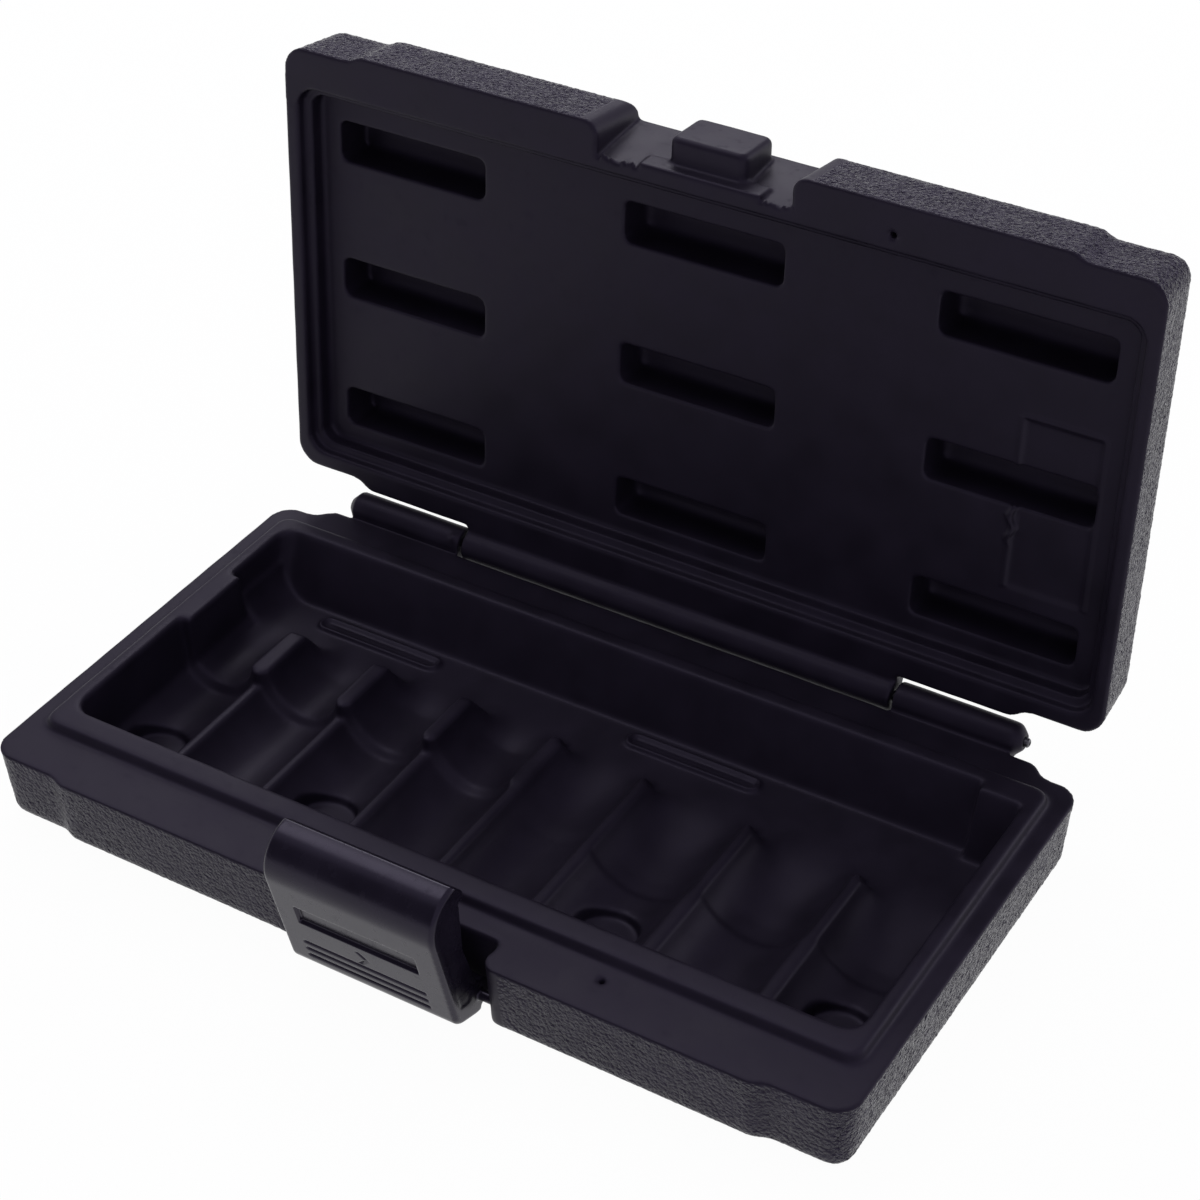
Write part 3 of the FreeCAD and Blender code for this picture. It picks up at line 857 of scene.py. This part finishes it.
@dataclass
class LidShell(HalfShell):
    """The lid, with the ridged outline of the insert in its panel and ragged flash at the latch's recess."""

    insert_x: tuple[float, float] = (105.5, 130.5)
    insert_y: tuple[float, float] = (-17.0, 40.0)
    panel_z: float = 34.1
    panel_band: float = 1.5
    panel_tilt: float = 0.6
    ridge_height: float = 0.45
    ridge_width: float = 0.9
    ridge_soft: float = 0.5
    drip: tuple[float, float] = (105.5, 18.0)
    drip_reach: tuple[float, float] = (1.1, 7.0)
    drip_height: float = 0.8
    drip_sway: float = 0.9
    drip_wave: float = 0.8
    rebate_y: tuple[float, float] = (-63.0, -55.0)
    rebate_softness: float = 0.06
    pocket_x: float = 128.0
    pocket_back_y: float = 62.0
    pocket_z: tuple[float, float] = (35.6, 38.6)
    skin_z: float = 48.6
    flash_x: tuple[tuple[float, float], ...] = ((-33.0, -19.5), (23.5, 33.0))
    flash_soft: float = 0.6
    flash_y: float = -64.0
    flash_y_fade: tuple[float, float] = (1.6, 0.4)
    flash_rise: float = 0.5
    flash_z_fade: tuple[float, float] = (1.5, 0.3)
    flash_length: float = 1.5
    ragged_share: float = 0.25
    ragged_waves: tuple[tuple[float, float, float], ...] = ((0.5, 0.83, 0.6), (0.35, 1.9, 2.1), (0.2, 4.3, 0.0))

    def softness(self, points: np.ndarray) -> np.ndarray:
        """How readily each point is drawn to its neighbours: little along the front of the rebate.

        Args:
            points: places in millimetres with the case shut.

        Returns:
            Shares from 0 to 1.
        """
        _, y, z = points.T
        front = (y > self.rebate_y[0]) & (y < self.rebate_y[1]) & (z < self.pocket_z[0])
        return np.where(front, self.rebate_softness, super().softness(points))

    def sag(self, points: np.ndarray) -> np.ndarray:
        """The pockets, whose floors are drawn out round.

        Args:
            points: places in millimetres with the case shut.

        Returns:
            Shares from 0 to 1.
        """
        x, y, z = points.T
        lengthways = (y > self.rebate_y[1]) & (y < self.pocket_back_y)
        inside = (np.abs(x) < self.pocket_x) & lengthways & (z < self.skin_z)
        return inside * ease(*self.pocket_z, z)

    def trim(self, points: np.ndarray) -> np.ndarray:
        """The ragged flash along the mouth of the latch's recess.

        Args:
            points: places in millimetres with the case shut.

        Returns:
            Moves in millimetres.
        """
        x, y, z = points.T
        waves = sum(height * np.sin(pace * x + shift) for height, pace, shift in self.ragged_waves)
        ragged = np.clip(self.ragged_share + waves, 0.0, 1.0)
        above = z - self.flange_z - self.flash_rise
        edge = ease(*self.flash_y_fade, np.abs(y - self.flash_y)) * ease(*self.flash_z_fade, np.abs(above))
        along = sum(span(*reach, self.flash_soft, x) for reach in self.flash_x)
        moves = np.zeros_like(points)
        moves[:, 1] = -self.flash_length * ragged * edge * along
        return moves

    def press(self, points: np.ndarray, normals: np.ndarray) -> np.ndarray:
        """The marks of a half, with the insert's ridges and the drip on one of them.

        Args:
            points: places in millimetres with the case shut.
            normals: the skin's normals there.

        Returns:
            Moves along the normals in millimetres.
        """
        moves = super().press(points, normals)
        x, y, z = points.T
        panel = (normals[:, 2] < -self.panel_tilt) & (np.abs(z - self.panel_z) < self.panel_band)
        along_x = span(*self.insert_x, self.ridge_soft, x)
        along_y = span(*self.insert_y, self.ridge_soft, y)
        ridges = np.exp(-((y - self.insert_y[0]) / self.ridge_width) ** 2) * along_x
        for edge_x in self.insert_x:
            ridges = np.maximum(ridges, np.exp(-((x - edge_x) / self.ridge_width) ** 2) * along_y)
        aside = x - self.drip[0] - self.drip_sway * np.sin(self.drip_wave * (y - self.drip[1]))
        blob = np.hypot(aside / self.drip_reach[0], (y - self.drip[1]) / self.drip_reach[1])
        return moves + panel * (ridges * self.ridge_height + self.drip_height * np.exp(-blob ** 4))


@dataclass
class Latch(MouldedPiece):
    """The latch, with closed ends, and a bare sunk plate, a small arrow and three grip grooves on its face."""

    pivot: tuple[float, float] = (-69.5, 7.6)
    reach: float = 11.8
    lean: float = 5.5
    face_band: float = 0.8
    face_tilt: float = 0.8
    plate_x: tuple[float, float] = (-20.2, 19.8)
    plate_rise: tuple[float, float] = (19.2, 26.6)
    plate_depth: float = 1.2
    plate_soft: float = 0.2
    groove_x: tuple[float, float] = (-21.0, 20.2)
    groove_rises: tuple[float, ...] = (9.5, 6.2, 3.0)
    groove_depth: float = 0.7
    groove_width: float = 0.5
    groove_soft: float = 0.5
    arrow: tuple[float, float] = (1.4, 13.7)
    arrow_size: float = 2.6
    arrow_depth: float = 0.6
    arrow_width: float = 0.5
    arrow_soft: float = 0.3
    end_x: float = 28.1
    cheek_width: float = 3.0
    cheek: tuple[tuple[float, float], ...] = (
        (-79.5, 6.0), (-82.8, 42.0), (-80.2, 50.0), (-73.3, 53.0), (-71.0, 52.5), (-71.0, 46.0), (-72.5, 30.0),
        (-69.5, 14.0), (-66.5, 9.0), (-66.5, 5.5), (-69.5, 1.8), (-76.0, 4.5))

    def solid(self) -> bpy.types.Mesh:
        """The latch's solid with a cheek that closes each end, between its face and its hub.

        Returns:
            The solids in one mesh.
        """
        mesh = super().solid()
        whole = bmesh.new()
        whole.from_mesh(mesh)
        for outer in (-self.end_x, self.end_x):
            inner = outer - math.copysign(self.cheek_width, outer)
            rings = [[whole.verts.new(Vector((x, y, z)) * MM) for y, z in self.cheek] for x in (outer, inner)]
            sides = [whole.faces.new(ring) for ring in rings]
            for i, corner in enumerate(rings[0]):
                sides.append(whole.faces.new((corner, rings[0][i - 1], rings[1][i - 1], rings[1][i])))
            bmesh.ops.recalc_face_normals(whole, faces=sides)
        whole.to_mesh(mesh)
        whole.free()
        return mesh

    def press(self, points: np.ndarray, normals: np.ndarray) -> np.ndarray:
        """The plate, the arrow and the grooves.

        Args:
            points: places in millimetres with the latch shut.
            normals: the skin's normals there.

        Returns:
            Moves along the normals in millimetres.
        """
        lean = math.radians(self.lean)
        x = points[:, 0]
        ahead = points[:, 1] - self.pivot[0] + self.reach
        above = points[:, 2] - self.pivot[1]
        rise = above * math.cos(lean) - ahead * math.sin(lean)
        behind = ahead * math.cos(lean) + above * math.sin(lean)
        face = (np.abs(behind) < self.face_band) & (normals[:, 1] < -self.face_tilt)
        plate = span(*self.plate_x, self.plate_soft, x)
        sunk = self.plate_depth * plate * span(*self.plate_rise, self.plate_soft, rise)
        lines = np.zeros(len(points))
        for groove in self.groove_rises:
            lines = np.maximum(lines, np.exp(-((rise - groove) / self.groove_width) ** 2))
        sunk += self.groove_depth * lines * span(*self.groove_x, self.groove_soft, x)
        off = np.abs(rise - self.arrow[1])
        tip = x - self.arrow[0] + off
        stroke = self.arrow_depth * np.exp(-(tip / self.arrow_width) ** 2)
        sunk += stroke * ease(self.arrow_size + self.arrow_soft, self.arrow_size, off)
        return face * -sunk


@dataclass
class HingePin:
    """The steel wire through the knuckles, with a rounded end that stands out at the right."""

    node: str = "hinge_pin"
    body: str = "base"
    slot: str = "pin_steel"
    sides: int = 40
    end_round: float = 0.9
    end_steps: int = 6
    finish: DrawnSteel = DrawnSteel()

    def profile(self, start: float, end: float, radius: float) -> list[tuple[float, float]]:
        """The pin's outline along its axis, with a rounded edge at each end.

        Args:
            start: where the pin starts along X.
            end: where it ends.
            radius: its radius.

        Returns:
            The place along X and the radius of each ring.
        """
        flat = radius - self.end_round
        quarter = [math.radians(90 * i / self.end_steps) for i in range(self.end_steps + 1)]
        rounding = [(self.end_round * (1 - math.sin(a)), flat + self.end_round * math.cos(a)) for a in quarter]
        return [(start + x, r) for x, r in reversed(rounding)] + [(end - x, r) for x, r in rounding]

    def build(self) -> bpy.types.Object:
        """Turns the pin about its axis.

        Returns:
            The pin.
        """
        low, high = (Vector(c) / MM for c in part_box(self.node))
        middle = (low + high) / 2
        profile = self.profile(low.x, high.x, (high.z - low.z) / 2)
        points = []
        for x, r in profile:
            for side in range(self.sides):
                turn = 2 * math.pi * side / self.sides
                points.append((x * MM, (middle.y + r * math.cos(turn)) * MM, (middle.z + r * math.sin(turn)) * MM))
        last = (len(profile) - 1) * self.sides
        faces = []
        for start in range(0, last, self.sides):
            for side in range(self.sides):
                after = (side + 1) % self.sides
                faces.append((start + self.sides + side, start + self.sides + after, start + after, start + side))
        faces.append(tuple(reversed(range(self.sides))))
        faces.append(tuple(last + side for side in range(self.sides)))
        mesh = bpy.data.meshes.new(self.node + "_wire")
        mesh.from_pydata(points, [], faces)
        mesh.shade_smooth()
        pin = add_object(self.node + "_wire", mesh)
        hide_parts(self.node)
        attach(pin, self.body)
        log.info("%s: %d faces", pin.name, len(mesh.polygons))
        return pin

    def dress(self, pin: bpy.types.Object) -> None:
        """Gives the pin its finish."""
        pin.data.materials.append(self.finish.material())


@dataclass(frozen=True)
class SoftBox:
    """A soft lamp, with its place and size in metres and its power in watts."""

    name: str
    place: tuple[float, float, float]
    size: tuple[float, float]
    power: float

    def hang(self, target: Vector) -> None:
        """Hangs the lamp so that it looks at the case.

        Args:
            target: the middle of the case.
        """
        data = bpy.data.lights.new(self.name, "AREA")
        data.shape = "RECTANGLE"
        data.size, data.size_y = self.size
        data.energy = self.power
        lamp = add_object(self.name, data)
        lamp.rotation_euler = (target - Vector(self.place)).to_track_quat("-Z", "Y").to_euler()
        lamp.location = self.place


@dataclass
class Studio:
    """A pale floor, soft light and the camera of the photograph."""

    azimuth: float = 32.002
    elevation: float = 37.111
    roll: float = -1.043
    distance: float = 0.8155
    target: tuple[float, float, float] = (0.00398, 0.03631, 0.06654)
    focal_pixels: float = 2765.0
    frame_pixels: float = 1200.0
    sensor: float = 36.0
    floor_reach: float = 30.0
    floor_tint: float = 0.9
    floor_roughness: float = 0.9
    floor_glow: float = 0.97
    surround_tint: tuple[float, float, float] = (0.97, 0.92, 1.1)
    surround_level: float = 0.6
    gap_level: float = 0.12
    gap_way: tuple[float, float, float] = (-0.42, -0.76, 0.5)
    gap_reach: tuple[float, float] = (0.84, 0.95)
    boxes: tuple[SoftBox, ...] = (
        SoftBox("back_box", (-0.55, 1.15, 1.15), (0.9, 0.7), 7.4),
        SoftBox("left_box", (-0.75, 0.15, 1.5), (0.8, 0.8), 4.3),
        SoftBox("right_box", (1.1, 1.0, 0.5), (0.7, 0.6), 3.0))

    def camera(self) -> None:
        """Sets the camera at the photograph's place."""
        turn, rise, roll = (math.radians(a) for a in (self.azimuth, self.elevation, self.roll))
        back = Vector((math.sin(turn) * math.cos(rise), -math.cos(turn) * math.cos(rise), math.sin(rise)))
        right = Vector((0, 0, 1)).cross(back).normalized()
        up = back.cross(right)
        tilted = right * math.cos(roll) + up * math.sin(roll)
        raised = back.cross(tilted)
        data = bpy.data.cameras.new("camera")
        data.sensor_width = self.sensor
        data.sensor_fit = "HORIZONTAL"
        data.lens = self.focal_pixels / self.frame_pixels * self.sensor
        seen = add_object("camera", data)
        place = Matrix((tilted, raised, back)).transposed().to_4x4()
        place.translation = Vector(self.target) + back * self.distance
        seen.matrix_world = place
        bpy.context.scene.camera = seen

    def floor(self) -> None:
        """Lays a plain pale floor under the case, which shows nearly white."""
        mesh = bpy.data.meshes.new("floor")
        reach = self.floor_reach
        corners = [(-reach, -reach, 0), (reach, -reach, 0), (reach, reach, 0), (-reach, reach, 0)]
        mesh.from_pydata(corners, [], [(0, 1, 2, 3)])
        ground = add_object("floor", mesh)
        material = bpy.data.materials.new("pale_floor")
        bench = NodeBench(material)
        pale = bench.find("Principled BSDF")
        pale.inputs["Base Color"].default_value = (self.floor_tint, self.floor_tint, self.floor_tint, 1.0)
        pale.inputs["Roughness"].default_value = self.floor_roughness
        glow = bench.add("ShaderNodeEmission", Color=(*WHITE, 1.0), Strength=1.0)
        path = bench.add("ShaderNodeLightPath")
        seen = bench.maths("ADD", path.outputs["Is Camera Ray"], path.outputs["Is Glossy Ray"])
        seen = bench.maths("ADD", seen, path.outputs["Is Transmission Ray"])
        bench.blend(bench.remap(seen, WHOLE_RANGE, (0.0, self.floor_glow)), pale, glow, "Material Output")
        mesh.materials.append(material)

    def surround(self) -> None:
        """Sets the faintly cool surround, which has one dark gap at the front left and is white to the camera."""
        world = bpy.data.worlds.new("surround")
        bench = NodeBench(world)
        sky = bench.find("Background")
        sky.inputs["Color"].default_value = (*self.surround_tint, 1.0)
        facing = bench.add("ShaderNodeVectorMath")
        facing.operation = "DOT_PRODUCT"
        facing.inputs[1].default_value = self.gap_way
        bench.join(bench.add("ShaderNodeTexCoord").outputs["Generated"], facing.inputs[0])
        levels = (self.surround_level, self.gap_level)
        strength = bench.remap(facing.outputs["Value"], self.gap_reach, levels, "SMOOTHSTEP")
        bench.join(strength, sky.inputs["Strength"])
        white = bench.add("ShaderNodeBackground", Color=(*WHITE, 1.0))
        path = bench.add("ShaderNodeLightPath")
        bench.blend(path.outputs["Is Camera Ray"], sky, white, "World Output")
        bpy.context.scene.world = world

    def build(self) -> None:
        """Sets up the whole studio."""
        self.camera()
        self.floor()
        for box in self.boxes:
            box.hang(Vector(self.target))
        self.surround()
        bpy.context.scene.view_settings.view_transform = "Standard"


def main() -> None:
    """Builds the pieces in order."""
    logging.basicConfig(level=logging.INFO)
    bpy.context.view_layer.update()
    Studio().build()
    shell = MouldedPlastic("shell_plastic", colour=(0.0108, 0.0088, 0.015), roughness=0.46, grain_roughness=0.16,
                           specular=0.2, skin_bump=0.15)
    glossy = MouldedPlastic("latch_plastic", colour=(0.0076, 0.0062, 0.011), roughness=0.24, grain_roughness=0.24,
                            specular=0.3, skin_bump=0.06)
    pieces = [
        BaseShell("base_shell", "base", "shell_plastic", shell, voxel=0.55 * MM, smooth_passes=16, sag_passes=380,
                  front_grain=0.6),
        LidShell("lid_shell", "lid", "shell_plastic", shell, voxel=0.55 * MM, smooth_passes=16, sag_passes=60,
                 shut=joint_turn("lid_hinge", Limit.HIGHEST), outward=Outward.UP, flange_z=25.4,
                 inner_softness=0.55),
        Latch("latch", "latch", "latch_plastic", glossy, voxel=0.27 * MM, smooth_passes=8,
              shut=joint_turn("latch_pivot", Limit.LOWEST)),
        HingePin(),
    ]
    for piece in pieces:
        piece.dress(piece.build())


if __name__ == "__main__":
    main()
